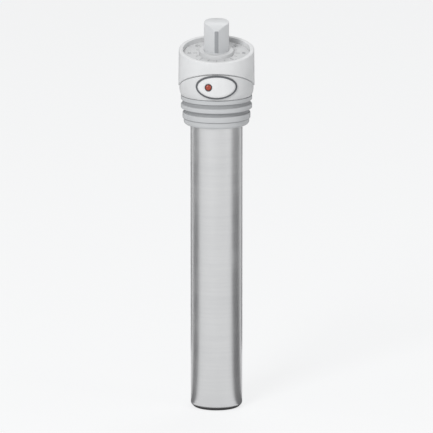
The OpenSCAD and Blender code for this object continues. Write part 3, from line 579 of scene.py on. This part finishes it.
incline(seam_z, seam_height)
round_slope(belly_r, seam_height, 0.2)
bpy.ops.object.mode_set(mode="OBJECT")
for wall in (neck, neck_cup):
    bored(wall, lens_hole_r, lens_drill, 90)
neck.select_set(True)
bpy.context.view_layer.objects.active = neck
bpy.ops.object.join()
finished(neck, "housing", neck_plastic, ["neck_body"])

# ---------------------------------------------------------------------------
# Pilot lamp, splices and potting. A neon bulb with its series resistor stands
# behind the lens; crimps join the leads, and black epoxy fills the cup's back.
# ---------------------------------------------------------------------------

lamp_glass, shader, signal = new_finish("lamp_glass", Transmission_Weight=0.85, IOR=1.5)
film = grain(signal, 1.2)
blend_colours(signal, film, (0.93, 0.90, 0.86), (0.84, 0.70, 0.60)).feed(shader, "Base Color")
(0.04 + 0.08 * film).feed(shader, "Roughness")
dress(lamp_glass, "pilot_lamp")

resistor_foot_z, resistor_length = 76.8, 6.3
resistor_lacquer, shader, signal = new_finish("resistor_lacquer", Coat_Weight=0.4)
blue = (0.16, 0.33, 0.42)
stops = [(0, blue)]
for start, colour in ((0.20, (0.55, 0.06, 0.03)), (0.34, (0.012, 0.012, 0.012)),
                      (0.48, (0.70, 0.50, 0.04)), (0.74, (0.45, 0.30, 0.10))):
    stops += [(start, blue), (start + 0.01, colour), (start + 0.07, colour),
              (start + 0.08, blue)]
up_body = (along(signal, "Z") - resistor_foot_z) * (1 / resistor_length)
code_bands = signal.node("ValToRGB", {"Fac": up_body}, stops=stops)
dip = grain(signal, 0.6)
blend_colours(signal, 0.2 * dip, code_bands, (0.05, 0.09, 0.11)).feed(shader, "Base Color")
(0.16 + 0.12 * dip).feed(shader, "Roughness")
emboss(signal, shader, dip, 0.02)
dress(resistor_lacquer, "lamp_resistor")

dress(drawn_metal("splice_metal", (0.48, 0.48, 0.50), (0.70, 0.70, 0.71), 0.28, (25, 1, 1)),
      "cord_splices")
dress(moulded("potting_resin", (0.010, 0.010, 0.011), (0.024, 0.024, 0.026), 0.16, 0.05),
      "potting")

# ---------------------------------------------------------------------------
# Cover. The head's outer shell, white satin ABS with a slight draft, snapped
# over the neck's cup; its sloped rim stands proud round the dial.
# ---------------------------------------------------------------------------
cover_plastic = moulded("cover_plastic", (0.735, 0.74, 0.745), (0.81, 0.815, 0.82), 0.34)
cover_bore_r, cover_foot_r, cover_rim_r, rim_z, seam_gap = 14.2, 16.125, 15.96, 92.9, 0.3


def cover_foot(y):
    return seam_height(y) + seam_gap


cover = turned("cover", [(cover_bore_r, seam_z), (cover_foot_r, seam_z), (cover_rim_r, rim_z),
                         (cover_bore_r, rim_z)], 176)
incline(seam_z, cover_foot)
incline(rim_z, dial_level(rim_z))
round_slope(cover_foot_r, cover_foot, 0.26)
round_slope(cover_rim_r, dial_level(rim_z), 0.42, 5)
round_slope(cover_bore_r, dial_level(rim_z), 0.30, 4)
finished(cover, "housing", cover_plastic, ["head_cover"])

# ---------------------------------------------------------------------------
# Dial plate. A sloped ABS disc that drops in below the rim, with the raised
# degree marks and plain numbers that its mould cuts, and a hole for the gland.
# ---------------------------------------------------------------------------
dial_plastic = moulded("dial_plastic", (0.60, 0.605, 0.61), (0.67, 0.675, 0.68), 0.40, 0.014)
plate_bore_r, plate_r, plate_z = 7.35, 14.15, 91.1
gland_y, gland_hole_r = 10.7, 3.0

plate = turned("plate", [(plate_bore_r, plate_under_z), (plate_r, plate_under_z),
                         (plate_r, plate_z), (plate_bore_r, plate_z)])
incline(plate_under_z, dial_level(plate_under_z))
incline(plate_z, dial_level(plate_z))
round_slope(plate_r, dial_level(plate_z), 0.25)
bpy.ops.object.mode_set(mode="OBJECT")
bored(plate, gland_hole_r, (0, gland_y, 92))
finished(plate, "housing", dial_plastic, ["dial_plate"])

mark_plastic = moulded("mark_plastic", (0.46, 0.465, 0.47), (0.52, 0.525, 0.53), 0.42)
coldest, warmest, front_degree, turn_per_degree = 20, 32, 26, 22.5
tick_start, tick_width, tick_height = 8.2, 0.35, 0.3
number_radius, number_size, number_half_height = 11.6, 2.1, 0.1
scale_pieces = []


def put_on_scale(piece, radius, lift, angle):
    """Moves a mark out to a radius at the front, then round the dial."""
    piece.location = (0, -radius * mm, lift * mm)
    bpy.ops.object.transform_apply(location=True, rotation=False, scale=False)
    piece.rotation_euler = (0, 0, angle)
    bpy.ops.object.transform_apply(location=False, rotation=True, scale=False)
    scale_pieces.append(piece)


for degree in range(coldest, warmest + 1):
    angle = math.radians((degree - front_degree) * turn_per_degree)
    numbered = degree % 2 == 0
    length = 1.8 if numbered else 1.2
    bpy.ops.mesh.primitive_cube_add(size=mm, location=(0, 0, 0))
    bpy.context.object.scale = (tick_width, length, tick_height)
    bpy.ops.object.transform_apply(location=False, rotation=False, scale=True)
    start_editing()
    pick(edges=lambda a, b: a.z > 0.1 and b.z > 0.1)
    bpy.ops.mesh.bevel(offset=0.08 * mm, segments=2, affect="EDGES")
    bpy.ops.object.mode_set(mode="OBJECT")
    put_on_scale(bpy.context.object, tick_start + length / 2, 0.05, angle)
    if numbered:
        bpy.ops.object.text_add(location=(0, 0, 0))
        number = bpy.context.object
        number.data.body = str(degree)
        number.data.align_x, number.data.align_y = "CENTER", "CENTER"
        number.data.size = number_size * mm
        number.data.extrude = number_half_height * mm
        number.data.resolution_u = 4
        bpy.ops.object.convert(target="MESH")
        start_editing()
        bpy.ops.mesh.remove_doubles(threshold=0.001 * mm)
        bpy.ops.object.mode_set(mode="OBJECT")
        put_on_scale(number, number_radius, 0.08, angle)
bpy.ops.object.select_all(action="DESELECT")
for mark in scale_pieces:
    mark.select_set(True)
dial_scale = scale_pieces[0]
bpy.context.view_layer.objects.active = dial_scale
bpy.ops.object.join()
dial_scale.name = "dial_scale"
for vertex in dial_scale.data.vertices:
    vertex.co.z += dial_level(plate_z)(vertex.co.y / mm) * mm
finished(dial_scale, "housing", mark_plastic)

# ---------------------------------------------------------------------------
# Bush. A turned-up ring of ABS, welded to the dial plate, in which the knob's
# stem turns; its top follows the dial's slope.
# ---------------------------------------------------------------------------
bush_plastic = moulded("bush_plastic", (0.64, 0.645, 0.65), (0.70, 0.705, 0.71))
bush_bore_r, bush_r, bush_foot_r, bush_z = 5.35, 7.3, 6.7, 92.7
lug_chamber_r, lug_chamber_z = 6.2, 84.1
bush = turned("bush", [
    (lug_chamber_r, cup_floor_z), (bush_foot_r, cup_floor_z), (bush_foot_r, 86), (bush_r, 86),
    (bush_r, bush_z), (bush_bore_r, bush_z), (bush_bore_r, lug_chamber_z),
    (lug_chamber_r, lug_chamber_z)], 96)
incline(bush_z, dial_level(bush_z))
round_slope(bush_r, dial_level(bush_z), 0.45, 4)
round_slope(bush_bore_r, dial_level(bush_z), 0.2)
finished(bush, "housing", bush_plastic, ["knob_bush"])

# ---------------------------------------------------------------------------
# Cord gland. Black rubber, moulded with three relief rings and pushed through
# the dial plate behind the knob; its mouth is flared for the cord.
# ---------------------------------------------------------------------------
gland_rubber, shader, signal = new_finish("gland_rubber", Specular_IOR_Level=0.3)
fine = grain(signal, 0.12, detail=3)
bloom = grain(signal, 2.2, detail=3).between(0.45, 0.75)
blend_colours(signal, 0.6 * bloom + 0.3 * fine,
              (0.018, 0.018, 0.019), (0.045, 0.045, 0.047)).feed(shader, "Base Color")
(0.58 + 0.12 * fine + 0.1 * bloom).feed(shader, "Roughness")
emboss(signal, shader, fine, 0.015)

gland_bore_r, gland_r, relief_r, gland_lip_r, gland_z = 2.2, 2.95, 2.6, 2.9, 97.58
gland = turned("gland", [
    (gland_bore_r, 86), (gland_r, 86),
    (gland_r, 94.15), (relief_r, 94.15), (relief_r, 94.6), (gland_r, 94.6),
    (gland_r, 95.25), (relief_r, 95.25), (relief_r, 95.7), (gland_r, 95.7),
    (gland_r, 96.35), (relief_r, 96.35), (relief_r, 96.75), (gland_lip_r, 96.75),
    (gland_lip_r, gland_z), (2.4, gland_z), (gland_bore_r, 97.2)], 64)
round_ring(gland_lip_r, gland_z, 0.2)
for height in (94.15, 94.6, 95.25, 95.7, 96.35):
    round_ring(gland_r, height, 0.12, 2)
bpy.ops.mesh.select_all(action="SELECT")
bpy.ops.transform.translate(value=(0, gland_y * mm, 0))
finished(gland, "housing", gland_rubber, ["cord_gland"])

# ---------------------------------------------------------------------------
# Badge. A bare pale oval of ABS in a dark bezel, both moulded to the neck's
# curve and clipped on; a pilot lamp shines through its round lens.
# ---------------------------------------------------------------------------
oval_half_width, oval_half_height, bezel_width = 8.8, 5.1, 0.7
bezel_front, badge_front = 16.45, 16.2


def oval(name, front):
    """An oval face in front of the neck, and in it the line where bezel and badge meet."""
    bpy.ops.object.select_all(action="DESELECT")
    bpy.ops.mesh.primitive_circle_add(vertices=96, radius=1 * mm, fill_type="NGON",
                                      rotation=(quarter_turn, 0, 0))
    piece = bpy.context.object
    piece.name = name
    bpy.ops.object.transform_apply(location=True, rotation=True, scale=True)
    start_editing()
    bpy.ops.transform.resize(value=(oval_half_width, 1, oval_half_height))
    bpy.ops.transform.translate(value=(0, -front * mm, badge_z * mm))
    bpy.ops.mesh.select_mode(type="FACE")
    bpy.ops.mesh.select_all(action="SELECT")
    bpy.ops.mesh.inset(thickness=bezel_width * mm, depth=0)
    return piece


def bend_round_neck(piece):
    """Moves each point back until it is as far from the axis as it was from the middle's plane."""
    for vertex in piece.data.vertices:
        vertex.co.y = -math.sqrt(max(vertex.co.y ** 2 - vertex.co.x ** 2, 0))


def on_front_edge(point):
    """Whether a point lies on the bezel's outer edge, at its front."""
    reach = math.hypot(point.x / oval_half_width, (point.z - badge_z) / oval_half_height)
    return point.y < -bezel_front + 0.01 and abs(reach - 1) < 0.01


bezel_plastic = moulded("bezel_plastic", (0.085, 0.09, 0.10), (0.125, 0.13, 0.14), 0.30)
bezel = oval("bezel", bezel_front)
bpy.ops.mesh.delete(type="FACE")
bpy.ops.mesh.select_all(action="SELECT")
bpy.ops.mesh.extrude_region_move(TRANSFORM_OT_translate={"value": (0, 0.78 * mm, 0)})
bpy.ops.mesh.select_all(action="SELECT")
bpy.ops.mesh.normals_make_consistent(inside=False)
pick(edges=lambda a, b: on_front_edge(a) and on_front_edge(b))
bpy.ops.mesh.bevel(offset=0.28 * mm, segments=3, affect="EDGES")
bpy.ops.object.mode_set(mode="OBJECT")
bend_round_neck(bezel)
finished(bezel, "housing", bezel_plastic, ["badge_bezel"])

badge_face = moulded("badge_face", (0.80, 0.805, 0.81), (0.86, 0.865, 0.87), 0.26, 0.006)
badge = oval("badge", badge_front)
bpy.ops.mesh.select_all(action="INVERT")
bpy.ops.mesh.delete(type="FACE")
bpy.ops.mesh.select_all(action="SELECT")
bpy.ops.mesh.inset(thickness=0.12 * mm, depth=0)
# The dome: rings that shrink towards the middle and rise a little less each time.
for shrink, rise in ((0.94, 0.07), (0.9, 0.05), (0.85, 0.04), (0.7, 0.03), (0.5, 0.01)):
    pick(faces=lambda middle, normal: abs(middle.x) < 0.01 and abs(middle.z - badge_z) < 0.01)
    bpy.ops.mesh.extrude_region_move(TRANSFORM_OT_translate={"value": (0, -rise * mm, 0)})
    bpy.ops.transform.resize(value=(shrink, 1, shrink), center_override=(0, 0, badge_z * mm))
# Upright strips, so that the oval can bend round the neck.
strips, strip_width = 14, 0.6
for i in range(-strips, strips + 1):
    bpy.ops.mesh.select_all(action="SELECT")
    bpy.ops.mesh.bisect(plane_co=(i * strip_width * mm, 0, 0), plane_no=(1, 0, 0))
bpy.ops.mesh.select_all(action="SELECT")
bpy.ops.mesh.extrude_region_move(TRANSFORM_OT_translate={"value": (0, 0.5 * mm, 0)})
bpy.ops.object.mode_set(mode="OBJECT")
bend_round_neck(badge)
start_editing()
bpy.ops.mesh.normals_make_consistent(inside=False)
bpy.ops.object.mode_set(mode="OBJECT")
bored(badge, lens_hole_r, lens_drill, 90)
finished(badge, "housing", badge_face, ["badge_plate"])


def face_front(piece):
    """Tips a piece that was turned upright so that its top looks out of the badge."""
    bpy.ops.object.mode_set(mode="OBJECT")
    for vertex in piece.data.vertices:
        x, y, z = vertex.co
        vertex.co = (x + lens_x * mm, -z, y + badge_z * mm)


lens_plastic, shader, signal = new_finish(
    "lens_plastic", IOR=1.49, Coat_Weight=0.6, Coat_Roughness=0.05, Transmission_Weight=0.25)
swirl = grain(signal, 0.7, detail=2)
blend_colours(signal, swirl, (0.42, 0.035, 0.012), (0.60, 0.075, 0.02)).feed(shader, "Base Color")
(0.10 + 0.06 * swirl).feed(shader, "Roughness")
emboss(signal, shader, swirl, 0.008)
lens_r, lens_back = 1.3, 11.6
lens = turned("lens", [
    (0, 16.62), (0.4, 16.60), (0.75, 16.53), (1.05, 16.38), (1.25, 16.12), (lens_r, 15.9),
    (lens_r, lens_back), (0, lens_back)], 48)
face_front(lens)
finished(lens, "housing", lens_plastic, ["pilot_lens"])

ring_r, ring_back, ring_front = 1.62, 15.7, 16.36
lens_ring = turned("lens_ring", [(lens_hole_r, ring_back), (ring_r, ring_back),
                                 (ring_r, ring_front), (lens_hole_r, ring_front)], 48)
round_ring(ring_r, ring_front, 0.1, 2)
round_ring(lens_hole_r, ring_front, 0.08, 2)
face_front(lens_ring)
finished(lens_ring, "housing", bezel_plastic)

# ---------------------------------------------------------------------------
# Adjusting shaft. Turned brass, pressed into the knob, with a fine thread that
# drives the plunger nut and a blued spring clip that holds it in the carrier.
# ---------------------------------------------------------------------------

thread_pitch, thread_end_z, shank_z = 0.5, 56.5, 57
shaft_brass, shader, signal = new_finish("shaft_brass", Metallic=1.0)
height = along(signal, "Z")
thread = (signal.math("SINE", height * (2 * math.pi / thread_pitch))
          * (1 - height.between(thread_end_z, shank_z)))
turning = grain(signal, 0.05, (30, 30, 1))
tarnish = grain(signal, 2).between(0.45, 0.7)
blend_colours(signal, 0.4 * turning + 0.6 * tarnish,
              (0.74, 0.56, 0.26), (0.50, 0.34, 0.13)).feed(shader, "Base Color")
(0.18 + 0.1 * turning + 0.12 * tarnish).feed(shader, "Roughness")
emboss(signal, shader, thread + 0.05 * turning, 0.08)
dress(shaft_brass, "adjusting_shaft")
dress(drawn_metal("clip_steel", (0.055, 0.065, 0.095), (0.16, 0.17, 0.21), 0.26, (12, 12, 1)),
      "shaft_clip")

# ---------------------------------------------------------------------------
# Knob. Pale grey ABS: two flats run from its sides to a narrow web, the
# pointer, under a crowned top; its stem turns in the bush on two rubber rings.
# ---------------------------------------------------------------------------

grip_z, knob_top = 91.915, 105.265
web_y, web_half, flats_half, crown_y, crown_r = -5.2, 0.8, 5.35, 4.9, 15
knob_plastic, shader, signal = new_finish("knob_plastic", Specular_IOR_Level=0.45)
web = ((0 - along(signal, "Y")).between(-web_y - 0.10, -web_y - 0.05)
       * along(signal, "Z").between(grip_z + 0.05, grip_z + 0.15))
fine = grain(signal, 0.16, detail=3, roughness=0.6)
cloud = grain(signal, 7, detail=3)
rub = grain(signal, 1.1, (1, 1, 0.25), detail=4).between(0.6, 0.72)
tone = blend_colours(signal, 0.35 * fine + 0.65 * cloud, (0.64, 0.65, 0.66), (0.71, 0.72, 0.73))
blend_colours(signal, web, tone, (0.33, 0.34, 0.355)).feed(shader, "Base Color")
(0.27 + 0.12 * fine + 0.06 * cloud - 0.06 * rub + 0.08 * web).feed(shader, "Roughness")
emboss(signal, shader, fine, 0.010)

stem_r, seat_r, shaft_r, stem_foot_z, shaft_top_z = 5.3, 4.3, 2, 81.4, 100.2
knob = turned("dial_knob", [
    (0, grip_z), (stem_r, grip_z),
    (stem_r, 88.35), (seat_r, 88.35), (seat_r, 87.25), (stem_r, 87.25),
    (stem_r, 86.35), (seat_r, 86.35), (seat_r, 85.25), (stem_r, 85.25),
    (stem_r, stem_foot_z), (shaft_r, stem_foot_z), (shaft_r, shaft_top_z), (0, shaft_top_z)], 96)


def on_stem_top(middle, normal):
    """Whether a face is level and lies on top of the stem, where the grip starts."""
    return abs(middle.z - grip_z) < 0.01 and abs(normal.z) > 0.9


pick(faces=on_stem_top)
bpy.ops.mesh.dissolve_faces()
for side in (1, -1):
    pick(faces=on_stem_top)
    bpy.ops.mesh.bisect(plane_co=(side * web_half * mm, web_y * mm, grip_z * mm),
                        plane_no=(side * (0 - web_y), web_half - flats_half, 0))
pick(faces=lambda middle, normal: on_stem_top(middle, normal) and middle.y > -2.4
     and abs(middle.x) < 1)
bpy.ops.mesh.extrude_region_move(
    TRANSFORM_OT_translate={"value": (0, 0, (knob_top - grip_z) * mm)})


def round_grip(test, size, segments):
    """Rounds the grip's sharp edges that pass a test on their middle and direction."""
    mesh = bmesh.from_edit_mesh(knob.data)
    bpy.ops.mesh.select_mode(type="EDGE")
    bpy.ops.mesh.select_all(action="DESELECT")
    for edge in mesh.edges:
        a, b = (vertex.co / mm for vertex in edge.verts)
        sharp = edge.is_manifold and edge.calc_face_angle() > math.radians(25)
        if sharp and max(a.z, b.z) > grip_z + 0.3:
            edge.select = test((a + b) / 2, (b - a).normalized())
    mesh.select_flush_mode()
    bmesh.update_edit_mesh(knob.data)
    bpy.ops.mesh.bevel(offset=size * mm, segments=segments, profile=0.5, affect="EDGES")


round_grip(lambda middle, run: abs(run.z) > 0.9 and middle.y > -2, 0.4, 4)
round_grip(lambda middle, run: abs(run.z) > 0.9 and middle.y < -2, 0.12, 2)
round_grip(lambda middle, run: abs(run.z) < 0.1 and middle.z > knob_top - 0.1, 0.28, 4)
# The crown: rows are cut across the top and its rounded rim, then each point drops to the arc.
crown_rows, first_row_y, row_step, rim_depth = 30, -5.15, 0.36, 0.3
for i in range(crown_rows):
    pick(faces=lambda middle, normal: middle.z > knob_top - rim_depth)
    bpy.ops.mesh.bisect(plane_co=(0, (first_row_y + row_step * i) * mm, 0), plane_no=(0, 1, 0))
bpy.ops.object.mode_set(mode="OBJECT")
for vertex in knob.data.vertices:
    if vertex.co.z > (knob_top - rim_depth) * mm:
        from_middle = vertex.co.y / mm - crown_y
        vertex.co.z += (math.sqrt(crown_r ** 2 - from_middle ** 2) - crown_r) * mm
start_editing()
bpy.ops.mesh.remove_doubles(threshold=0.001 * mm)
bpy.ops.mesh.normals_make_consistent(inside=False)
bpy.ops.object.mode_set(mode="OBJECT")
# The stop lug, which runs in the bush's chamber.
bpy.ops.mesh.primitive_cube_add(size=mm, location=(0, -5.5 * mm, 82.6 * mm),
                                scale=(1.57, 1.0, 2.4))
lug = bpy.context.object
weld = knob.modifiers.new("weld", "BOOLEAN")
weld.operation, weld.object = "UNION", lug
bpy.context.view_layer.objects.active = knob
bpy.ops.object.modifier_apply(modifier="weld")
bpy.data.objects.remove(lug)
bpy.ops.object.select_all(action="DESELECT")
knob.select_set(True)
finished(knob, "dial", knob_plastic, ["knob"])
